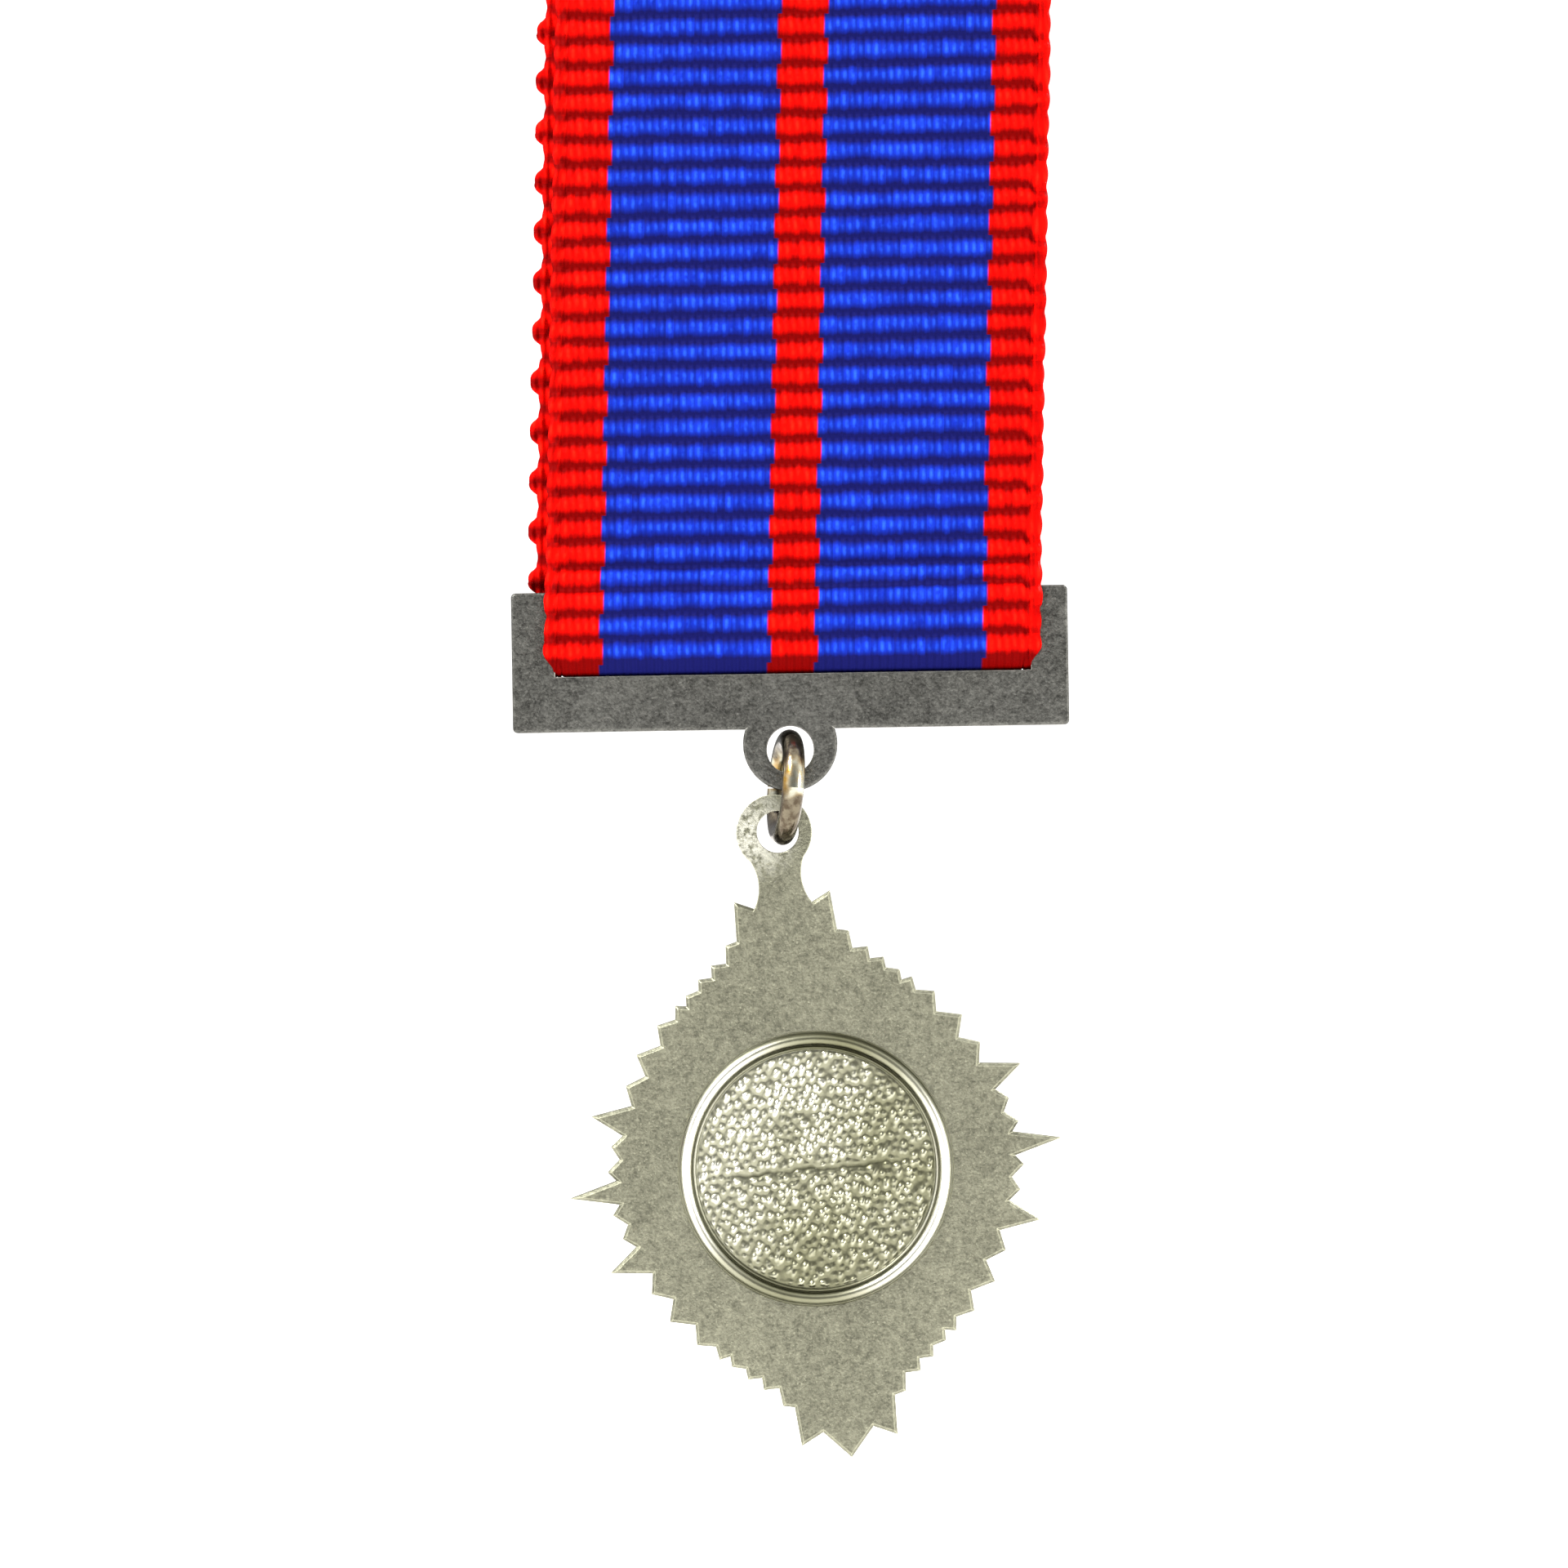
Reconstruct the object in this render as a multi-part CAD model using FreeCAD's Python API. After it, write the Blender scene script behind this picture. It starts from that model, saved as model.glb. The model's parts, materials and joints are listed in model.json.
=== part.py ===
import FreeCAD, Part
import math
import os

# A miniature service medal as it hangs when it is worn: a pin brooch, a
# doubled ribbon, a suspender bar, a jump ring and a rayed star with a roundel.
# Millimetres, +Z up. The obverse faces -Y, the reverse and the brooch pin
# face +Y. The origin is on the brooch pin's axis, at the middle of the pin.

# Brooch
plate_width = 19.8
plate_height = 4.2
plate_thickness = 0.6
pin_radius = 0.35
pin_standoff = 1.45            # pin axis to the plate's back face
hinge_x = 8.95
catch_x = -8.9
rivet_radius = 0.30
rivet_clearance = 0.04
eye_radius = 0.75
eye_half_height = 0.45
cheek_thickness = 0.40
cheek_clearance = 0.05

# Ribbon
ribbon_width = 15.9
layer = 0.42                   # thickness of one layer of the ribbon
ribbon_top = 2.1               # where the ribbon turns over the plate's top edge
ribbon_lean = 0.033            # sideways drift of the ribbon per unit of height
ribbon_end_z = -5.0            # lower end of the turned-over length at the back
stitch_count = 9

# Suspender bar, with heights measured up from its lower edge
bar_bottom = -30.75
bar_width = 17.9
bar_height = 4.5
bar_thickness = 1.0
slot_width = 15.3              # centred on the ribbon, which is pinched in it
slot_low = 1.78
slot_high = 2.72
lug_radius = 1.52
lug_drop = 0.49
lug_hole_radius = 0.76
lug_hole_drop = 0.66
lug_x_offset = 0.04

# Jump ring
wire_radius = 0.35
ring_radius = 1.53             # to the middle of the wire
ring_top_drop = 0.36           # wire centre at the top, below the bar's edge
ring_x_offset = 0.06
ring_lean = 5.6                # degrees, the lower end towards +X
ring_turn = 9.0                # degrees, the reverse strand towards -X
ring_slit = 0.05

# Pendant, in its own upright frame with the star's centre at (0, 0)
pendant_hole_x_offset = 0.49
pendant_hole_drop = 3.31
pendant_lean = 6.2             # degrees, the lower tip towards -X
lug_to_centre = 10.89
pendant_lug_radius = 1.22
pendant_hole_radius = 0.68
hole_offset = -0.12            # the hole's place in X across the lug
neck_half_width = 0.70
lug_half_thickness = 0.5
edge_thickness = 0.50          # at the star's outline
ridge_thickness = 1.30         # along the rays, at the roundel
furrow_thickness = 0.95        # between the rays, at the roundel
edge_bevel = 0.09              # on the reverse, round the outline
roundel_radius = 4.42
recess_depth = 0.25
rim_height = 0.28
field_radius = 3.80
stud_radius = 1.0

# One quarter of the star's outline: the angle from the long axis in degrees
# and the distance from the centre of each ray's tip, then the same two values
# of the notch after it.
quarter = [
    ((0.0, 9.37), (5.5, 8.50)),
    ((10.0, 8.95), (12.2, 7.72)),
    ((15.0, 7.72), (16.6, 7.18)),
    ((20.3, 7.33), (21.6, 6.97)),
    ((24.9, 7.14), (26.4, 6.84)),
    ((30.0, 6.94), (31.6, 6.66)),
    ((33.8, 6.90), (36.4, 6.58)),
    ((41.0, 6.86), (44.7, 6.36)),
    ((50.7, 6.82), (54.6, 6.23)),
    ((59.6, 6.66), (64.3, 6.25)),
    ((70.0, 7.40), (73.4, 6.30)),
    ((77.0, 6.62), (80.4, 6.32)),
    ((84.0, 6.70), (86.6, 6.42)),
]
side_tip = (90.0, 7.95)

hang_y = -(pin_standoff + plate_thickness / 2)
fold_x = ribbon_lean * -(bar_bottom + slot_high)
bar_x = fold_x + 0.09
hinge_gap = 0.30
hinge_z = bar_bottom + bar_height + 0.70


def vec(x, y, z):
    return FreeCAD.Vector(x, y, z)


def box(low, high):
    size = [b - a for a, b in zip(low, high)]
    return Part.makeBox(size[0], size[1], size[2], vec(*low))


def rod(radius, start, direction, length):
    return Part.makeCylinder(radius, length, vec(*start), vec(*direction))


def ribbon_centre(z):
    """The ribbon's middle in X at a height, following its lean."""
    return -ribbon_lean * z


def ribbon_solid(wire_at):
    """A solid between the same outline at the ribbon's two edges."""
    sides = [wire_at(side * ribbon_width / 2) for side in (-1, 1)]
    return Part.makeLoft(sides, True, True)


def on_edge(edge_x, y, z):
    """A point at one edge of the ribbon, at a depth from the hanging plane."""
    return vec(edge_x + ribbon_centre(z), hang_y + y, z)


def make_ribbon_drop():
    half = plate_thickness / 2 + layer

    def outline(edge_x):
        down = [
            (-half, -plate_height / 2),
            (-layer, ribbon_end_z - 1.0),
            (-layer, hinge_z + hinge_gap),
            (layer, hinge_z + hinge_gap),
            (layer, ribbon_end_z),
            (half, ribbon_end_z),
            (half, ribbon_top),
        ]
        points = [on_edge(edge_x, -half, ribbon_top)]
        points += [on_edge(edge_x, y, z) for y, z in down]
        over = on_edge(edge_x, 0, ribbon_top + half)
        edges = [Part.LineSegment(a, b).toShape() for a, b in zip(points, points[1:])]
        edges.append(Part.Arc(points[-1], over, points[0]).toShape())
        return Part.Wire(edges)

    plate = make_brooch_plate()
    return ribbon_solid(outline).cut(plate)


def make_ribbon_fold():
    half = bar_thickness / 2 + layer
    low = bar_bottom + slot_high
    high = bar_bottom + bar_height

    def outline(edge_x):
        points = [
            on_edge(edge_x, half, low),
            on_edge(edge_x, half, high - 0.15),
            on_edge(edge_x, layer, hinge_z - hinge_gap),
            on_edge(edge_x, -layer, hinge_z - hinge_gap),
            on_edge(edge_x, -half, high - 0.15),
            on_edge(edge_x, -half, low),
        ]
        under = on_edge(edge_x, 0, low - half)
        edges = [Part.LineSegment(a, b).toShape() for a, b in zip(points, points[1:])]
        edges.append(Part.Arc(points[-1], under, points[0]).toShape())
        return Part.Wire(edges)

    return ribbon_solid(outline).cut(make_suspender_bar())


def make_ribbon_stitches():
    surface = hang_y + plate_thickness / 2 + layer
    z = ribbon_end_z + 0.7
    pitch = (ribbon_width - 1.6) / stitch_count
    first = ribbon_centre(z) - pitch * (stitch_count - 1) / 2
    length = 0.6 * pitch
    stitches = []
    for i in range(stitch_count):
        x = first + i * pitch
        low = (x - length / 2, surface, z - 0.10)
        high = (x + length / 2, surface + 0.14, z + 0.10)
        stitches.append(box(low, high))
    return Part.makeCompound(stitches)


def make_brooch_plate():
    back = -pin_standoff
    low = (-plate_width / 2, back - plate_thickness, -plate_height / 2)
    high = (plate_width / 2, back, plate_height / 2)
    plate = box(low, high)
    corners = [e for e in plate.Edges if abs(e.tangentAt(e.FirstParameter).y) > 0.9]
    return plate.makeFillet(0.5, corners)


def make_pin_bracket():
    outer = eye_half_height + cheek_clearance + cheek_thickness
    inner = eye_half_height + cheek_clearance
    half_width = 0.70
    back = -pin_standoff
    base_top = back + cheek_thickness
    base = box((hinge_x - half_width, back, -outer), (hinge_x + half_width, base_top, outer))
    bracket = base
    for low in (inner, -outer):
        cheek = box(
            (hinge_x - half_width, back, low),
            (hinge_x + half_width, 0, low + cheek_thickness),
        )
        nose = rod(half_width, (hinge_x, 0, low), (0, 0, 1), cheek_thickness)
        bracket = bracket.fuse(cheek).fuse(nose)
    bore = rod(rivet_radius, (hinge_x, 0, -outer), (0, 0, 1), 2 * outer)
    return bracket.cut(bore).removeSplitter()


def make_pin_rivet():
    outer = eye_half_height + cheek_clearance + cheek_thickness
    head_height = 0.16
    shank = rod(rivet_radius, (hinge_x, 0, -outer), (0, 0, 1), 2 * outer)
    head_radius = 0.48
    top = rod(head_radius, (hinge_x, 0, outer), (0, 0, 1), head_height)
    bottom = rod(head_radius, (hinge_x, 0, -outer - head_height), (0, 0, 1), head_height)
    rivet = shank.fuse(top).fuse(bottom)
    rims = [e for e in rivet.Edges if abs(abs(e.BoundBox.ZMin) - outer - head_height) < 1e-6]
    return rivet.makeFillet(0.10, rims)


def make_brooch_pin():
    taper_start = catch_x + 0.6
    tip_x = catch_x - 0.75
    tip_radius = 0.04
    eye = rod(eye_radius, (hinge_x, 0, -eye_half_height), (0, 0, 1), 2 * eye_half_height)
    shaft = rod(pin_radius, (hinge_x, 0, 0), (-1, 0, 0), hinge_x - taper_start)
    point = Part.makeCone(
        pin_radius, tip_radius, taper_start - tip_x, vec(taper_start, 0, 0), vec(-1, 0, 0)
    )
    bore_radius = rivet_radius + rivet_clearance
    bore = rod(bore_radius, (hinge_x, 0, -1), (0, 0, 1), 2)
    return eye.fuse(shaft).fuse(point).cut(bore).removeSplitter()


def make_pin_catch():
    width = 0.8
    inner = 0.46
    outer = 0.78
    mouth = 0.37
    back = -pin_standoff
    x0 = catch_x - width / 2
    ring = rod(outer, (x0, 0, 0), (1, 0, 0), width)
    post = box((x0, back, -0.30), (x0 + width, 0, 0.30))
    foot = box((x0, back, -1.2), (x0 + width, back + 0.30, 1.2))
    hollow = rod(inner, (x0, 0, 0), (1, 0, 0), width)
    opening = box((x0, 0, -mouth), (x0 + width, outer + 0.1, mouth))
    return ring.fuse(post).fuse(foot).cut(hollow).cut(opening).removeSplitter()


def make_suspender_bar():
    y0 = hang_y - bar_thickness / 2
    y1 = hang_y + bar_thickness / 2
    left = bar_x - bar_width / 2
    right = bar_x + bar_width / 2
    plate = box((left, y0, bar_bottom), (right, y1, bar_bottom + bar_height))
    lug_x = bar_x + lug_x_offset
    lug = rod(lug_radius, (lug_x, y0, bar_bottom - lug_drop), (0, 1, 0), bar_thickness)
    corners = [e for e in plate.Edges if abs(e.tangentAt(e.FirstParameter).y) > 0.9]
    bar = plate.makeFillet(0.15, corners).fuse(lug).removeSplitter()
    faces_edges = [e for e in bar.Edges if abs(e.BoundBox.YMax - e.BoundBox.YMin) < 1e-6]
    bar = bar.makeFillet(0.10, faces_edges)
    slot = box(
        (fold_x - slot_width / 2, y0 - 1, bar_bottom + slot_low),
        (fold_x + slot_width / 2, y1 + 1, bar_bottom + slot_high),
    )
    hole = rod(lug_hole_radius, (lug_x, y0 - 1, bar_bottom - lug_hole_drop), (0, 1, 0), 4)
    return bar.cut(slot).cut(hole)


def ring_centre():
    lean = math.radians(ring_lean)
    top_x = bar_x + ring_x_offset
    top_z = bar_bottom - ring_top_drop
    return (top_x + ring_radius * math.sin(lean), hang_y, top_z - ring_radius * math.cos(lean))


def ring_normal():
    """The ring lies in the plane across the bar, leaned and turned a little."""
    lean = math.radians(ring_lean)
    turn = math.radians(ring_turn)
    flat = math.cos(turn)
    return (math.cos(lean) * flat, math.sin(turn), math.sin(lean) * flat)


def make_jump_ring():
    centre = ring_centre()
    ring = Part.makeTorus(ring_radius, wire_radius, vec(*centre), vec(*ring_normal()))
    slit = box(
        (centre[0] - 1, hang_y - 3, centre[2] - ring_slit / 2),
        (centre[0] + 1, hang_y, centre[2] + ring_slit / 2),
    )
    return ring.cut(slit)


def placed_pendant(shape):
    """Moves a shape from the pendant's own frame to where the pendant hangs."""
    hole = vec(bar_x + pendant_hole_x_offset, hang_y, bar_bottom - pendant_hole_drop)
    shape.translate(vec(-hole_offset, 0, -lug_to_centre))
    shape.rotate(vec(0, 0, 0), vec(0, 1, 0), pendant_lean)
    shape.translate(hole)
    return shape


def star_outline():
    """Tips and notches in turn as (angle, radius, is_tip), all the way round."""
    points = []
    for tip, notch in quarter:
        points.append((tip[0], tip[1], True))
        points.append((notch[0], notch[1], False))
    side = [(side_tip[0], side_tip[1], True)]
    first_half = points + side + [(180 - a, r, t) for a, r, t in reversed(points)]
    second_half = [(360 - a, r, t) for a, r, t in reversed(first_half[1:-1])]
    return first_half + second_half


def ray_point(angle, radius, y):
    turn = math.radians(angle)
    return vec(radius * math.sin(turn), y, -radius * math.cos(turn))


def inset(points, distance):
    """Moves each side of a closed outline inward by the same distance."""
    count = len(points)
    moved = []
    for i, point in enumerate(points):
        before = point - points[i - 1]
        after = points[(i + 1) % count] - point
        first = vec(before.z, 0, -before.x).normalize()
        second = vec(after.z, 0, -after.x).normalize()
        moved.append(point - (first + second) * (distance / (1 + first.dot(second))))
    return moved


def flat_face(points):
    return Part.Face(Part.makePolygon(points + points[:1]))


def make_rayed_body():
    """The star without its neck: flat with a bevel at the back, rays in front."""
    back = lug_half_thickness
    outline = star_outline()
    inner = roundel_radius - 0.3
    count = len(outline)
    rim_back = inset([ray_point(a, r, back) for a, r, t in outline], edge_bevel)
    rim_side = [ray_point(a, r, back - edge_bevel) for a, r, t in outline]
    rim_front = [ray_point(a, r, back - edge_thickness) for a, r, t in outline]
    crown = []
    for a, r, is_tip in outline:
        thickness = ridge_thickness if is_tip else furrow_thickness
        crown.append(ray_point(a, inner, back - thickness))
    centre = vec(0, back - furrow_thickness, 0)
    faces = [flat_face(rim_back)]
    for i in range(count):
        j = (i + 1) % count
        faces.append(flat_face([rim_back[i], rim_back[j], rim_side[j], rim_side[i]]))
        faces.append(flat_face([rim_side[i], rim_side[j], rim_front[j], rim_front[i]]))
        faces.append(flat_face([rim_front[i], rim_front[j], crown[j]]))
        faces.append(flat_face([rim_front[i], crown[j], crown[i]]))
        faces.append(flat_face([crown[i], crown[j], centre]))
    body = Part.Solid(Part.Shell(faces))
    if body.Volume < 0:
        body.reverse()
    return body


def make_neck():
    """The lug and the waisted neck that runs down into the star's upper point."""
    y0 = -lug_half_thickness
    thickness = 2 * lug_half_thickness
    lug = rod(pendant_lug_radius, (0, y0, lug_to_centre), (0, 1, 0), thickness)
    waist_z = lug_to_centre - 1.45
    foot_z = lug_to_centre - 2.75
    foot_half = 1.25
    root_z = roundel_radius + 0.15

    def side(sign):
        shoulder = vec(sign * 0.95, y0, lug_to_centre - 0.7)
        waist = vec(sign * neck_half_width, y0, waist_z)
        foot = vec(sign * foot_half, y0, foot_z)
        return shoulder, waist, foot

    a, b, c = side(-1)
    d, e, f = side(1)
    root = vec(0, y0, root_z)
    edges = [
        Part.Arc(a, b, c).toShape(),
        Part.LineSegment(c, root).toShape(),
        Part.LineSegment(root, f).toShape(),
        Part.Arc(f, e, d).toShape(),
        Part.LineSegment(d, a).toShape(),
    ]
    neck = Part.Face(Part.Wire(edges)).extrude(vec(0, thickness, 0))
    return lug.fuse(neck)


def make_star_plate():
    star = make_rayed_body().fuse(make_neck())
    back = lug_half_thickness
    front = back - ridge_thickness
    hole = rod(pendant_hole_radius, (hole_offset, -3, lug_to_centre), (0, 1, 0), 6)
    back_recess = rod(roundel_radius, (0, back - recess_depth, 0), (0, 1, 0), 1)
    front_recess = rod(roundel_radius, (0, front + recess_depth, 0), (0, -1, 0), 1)
    stud_hole = rod(stud_radius, (0, -3, 0), (0, 1, 0), 6)
    for cutter in (hole, back_recess, front_recess, stud_hole):
        star = star.cut(cutter)
    return placed_pendant(star)


def dished_disc(base_y, outward, rim, step_height, field):
    """A disc with a round bead rim, a groove, a thin ring and a lower field.

    base_y is the face it sits on, and outward is +1 or -1 along Y."""
    bead_inner = roundel_radius - 0.42
    ring_outer = bead_inner - 0.10
    sketch = [
        (0, 0), (roundel_radius, 0), (roundel_radius, rim - 0.20),
    ]
    bead_top = (roundel_radius + bead_inner) / 2
    step = [
        (bead_inner, rim - 0.20), (bead_inner, 0.16), (ring_outer, 0.16),
        (ring_outer, step_height), (field + 0.03, step_height), (field, step_height - 0.08),
        (0, step_height - 0.08), (0, 0),
    ]

    def at(point):
        return vec(point[0], base_y + outward * point[1], 0)

    edges = [Part.LineSegment(at(p), at(q)).toShape() for p, q in zip(sketch, sketch[1:])]
    edges.append(Part.Arc(at(sketch[-1]), at((bead_top, rim)), at(step[0])).toShape())
    edges += [Part.LineSegment(at(p), at(q)).toShape() for p, q in zip(step, step[1:])]
    profile = Part.Face(Part.Wire(edges))
    return profile.revolve(vec(0, 0, 0), vec(0, 1, 0), 360)


def make_roundel_back():
    base = lug_half_thickness - recess_depth
    disc = dished_disc(base, 1, recess_depth + rim_height, recess_depth + 0.16, field_radius)
    return placed_pendant(disc)


def make_roundel_front():
    base = lug_half_thickness - ridge_thickness + recess_depth
    disc = dished_disc(base, -1, recess_depth + rim_height, recess_depth + 0.16, field_radius)
    field_y = base - recess_depth - 0.08
    dome_height = 0.35
    dome_rim = 3.0
    ball = (dome_rim ** 2 + dome_height ** 2) / (2 * dome_height)
    dome = Part.makeSphere(ball, vec(0, field_y + ball - dome_height, 0))
    keep = rod(dome_rim, (0, field_y, 0), (0, -1, 0), dome_height + 0.1)
    return placed_pendant(disc.fuse(dome.common(keep)))


def make_roundel_stud():
    start = lug_half_thickness - ridge_thickness + recess_depth
    length = ridge_thickness - 2 * recess_depth
    return placed_pendant(rod(stud_radius, (0, start, 0), (0, 1, 0), length))


parts = {
    "brooch_plate": make_brooch_plate,
    "pin_bracket": make_pin_bracket,
    "pin_rivet": make_pin_rivet,
    "brooch_pin": make_brooch_pin,
    "pin_catch": make_pin_catch,
    "ribbon_drop": make_ribbon_drop,
    "ribbon_fold": make_ribbon_fold,
    "ribbon_stitches": make_ribbon_stitches,
    "suspender_bar": make_suspender_bar,
    "jump_ring": make_jump_ring,
    "star_plate": make_star_plate,
    "roundel_back": make_roundel_back,
    "roundel_front": make_roundel_front,
    "roundel_stud": make_roundel_stud,
}

os.makedirs("parts", exist_ok=True)
for name, make in parts.items():
    shape = make()
    if not shape.isValid():
        print("invalid:", name)
    shape.exportStep("parts/" + name + ".step")
    solids = len(shape.Solids)
    print(f"{name}: {solids} solid(s), {shape.Volume:.2f} mm3")
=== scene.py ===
import bpy
import json
import math
import numpy as np
from mathutils import Matrix, Vector
from mathutils.kdtree import KDTree


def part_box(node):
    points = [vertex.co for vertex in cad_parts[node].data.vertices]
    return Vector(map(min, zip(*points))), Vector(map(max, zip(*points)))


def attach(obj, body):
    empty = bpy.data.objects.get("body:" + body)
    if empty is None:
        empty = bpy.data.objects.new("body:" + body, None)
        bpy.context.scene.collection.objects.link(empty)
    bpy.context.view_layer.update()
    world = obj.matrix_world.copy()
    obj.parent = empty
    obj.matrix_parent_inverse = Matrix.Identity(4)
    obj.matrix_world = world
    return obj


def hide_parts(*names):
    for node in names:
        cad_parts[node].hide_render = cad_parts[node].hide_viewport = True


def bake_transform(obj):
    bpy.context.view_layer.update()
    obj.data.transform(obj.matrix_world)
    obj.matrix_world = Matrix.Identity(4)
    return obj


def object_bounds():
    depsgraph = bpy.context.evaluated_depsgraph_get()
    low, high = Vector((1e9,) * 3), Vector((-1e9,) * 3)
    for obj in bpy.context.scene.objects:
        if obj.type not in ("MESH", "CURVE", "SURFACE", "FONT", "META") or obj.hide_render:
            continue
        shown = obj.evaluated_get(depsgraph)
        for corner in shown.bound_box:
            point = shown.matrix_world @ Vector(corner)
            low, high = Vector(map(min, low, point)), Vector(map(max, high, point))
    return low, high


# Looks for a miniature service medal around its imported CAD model. Lengths in
# this script are millimetres until a mesh, shader, light or camera is made.

MM = 0.001
TURN = 2 * math.pi
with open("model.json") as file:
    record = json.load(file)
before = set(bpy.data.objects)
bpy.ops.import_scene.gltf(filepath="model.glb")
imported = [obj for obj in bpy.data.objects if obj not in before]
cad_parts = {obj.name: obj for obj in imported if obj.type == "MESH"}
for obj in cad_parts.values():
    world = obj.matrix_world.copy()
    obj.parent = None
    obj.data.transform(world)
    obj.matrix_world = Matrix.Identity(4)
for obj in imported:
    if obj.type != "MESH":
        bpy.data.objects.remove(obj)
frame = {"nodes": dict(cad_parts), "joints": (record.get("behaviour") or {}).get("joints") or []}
cad_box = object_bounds()


def node_box(node):
    """Lowest and highest corner of a CAD node."""
    low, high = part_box(node)
    return np.array(low) / MM, np.array(high) / MM


def joint_place(name):
    joint = next(j for j in frame["joints"] if j["name"] == name)
    return [value / MM for value in joint["pos_m"]]


plate_low, plate_high = node_box("brooch_plate")
stitch_low, stitch_high = node_box("ribbon_stitches")
bar_low, bar_high = node_box("suspender_bar")
ring_low, ring_high = node_box("jump_ring")
disc_low, disc_high = node_box("roundel_back")
_, hang_y, bend_z = joint_place("suspender_swing")
eye_x, _, eye_z = joint_place("pendant_sway")

# Suspender bar
bar_height = 4.5
crossbar_drop = 1.78           # bar's top edge to the crossbar's lower edge
slot_width = 15.3
bar_top = bar_high[2]
bar_bottom = bar_top - bar_height
bar_x = (bar_low[0] + bar_high[0]) / 2
crossbar_low = bar_top - crossbar_drop

# Ribbon
ribbon_width = 15.9
ribbon_lean = 0.033            # sideways drift for each unit of height
far_shift = 0.35               # sideways offset of the obverse layer
edge_stripe = 1.80
centre_stripe = 1.50
thread_pitch = 0.25
half_peak = 0.21               # half the thickness on a rib
half_groove = 0.03             # half the thickness in a groove

# Its ribs
rib_pitch = 0.806
rib_steps = 10                 # rows of points to a rib
rib_start = 0.19               # ribs from a groove to the fold's lowest row
rib_sharpness = 1.3            # over 1, crests are narrower than grooves
rib_wander = 0.011             # growth of a rib's drift from column to column
most_drift = 0.12              # in ribs
rib_bulge = 0.07               # how far a rib's end stands out
uneven_ends = 0.010

# Its edges
selvedge = 0.40                # width of the cord-like strip along each edge
edge_round = 0.24              # width over which an edge is rounded
seam = 0.05                    # depth and width of the line beside the cord
groove_hook = 0.34             # every other groove bends into the cord
bright_cord = 0.68             # how light a cord stays where grooves meet it
dull_cord = 0.30
far_picot = 0.32               # loops on the obverse layer's edge
near_picot = 0.04

# Roundel
pendant_lean = math.radians(6.2)
roundel_radius = 4.42
field_radius = 3.84            # pebbled ground inside, rim outside
rim_height = 0.28              # CAD rim's top over the star's back face
pebble_pitch = 0.27
pebble_size = 0.096
pebble_height = 0.11

# Room
room_sides = 1.55
room_top = 2.1                 # straight overhead
room_ends = 0.85               # low down and half way up
room_dim = 0.34                # straight before and behind the medal
backdrop = 1.35

# Meshes


def mesh_piece(name, points_mm, faces, material):
    mesh = bpy.data.meshes.new(name)
    mesh.from_pydata((np.asarray(points_mm) * MM).tolist(), [], faces)
    mesh.validate()
    mesh.shade_smooth()
    mesh.materials.append(material)
    piece = bpy.data.objects.new(name, mesh)
    bpy.context.scene.collection.objects.link(piece)
    return piece


def ring_quads(rows, columns):
    """Quads of a tube: each row of points is a closed ring."""
    i, j = np.meshgrid(np.arange(rows - 1), np.arange(columns), indexing="ij")
    k = (j + 1) % columns
    near, far = i * columns, (i + 1) * columns
    return np.stack([near + j, near + k, far + k, far + j], -1).reshape(-1, 4)


def point_values(piece, name, values):
    layer = piece.data.attributes.new(name, "FLOAT", "POINT")
    layer.data.foreach_set("value", np.asarray(values, np.float32).ravel())


def smooth_step(value, start, end):
    t = np.clip((value - start) / (end - start), 0, 1)
    return t * t * (3 - 2 * t)


def half_ellipse(distance, reach):
    """1 in the middle, falling to 0 on a rounded curve at the reach."""
    return np.sqrt(np.clip(1 - (distance / reach) ** 2, 0, 1))


# Shader nodes


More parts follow.
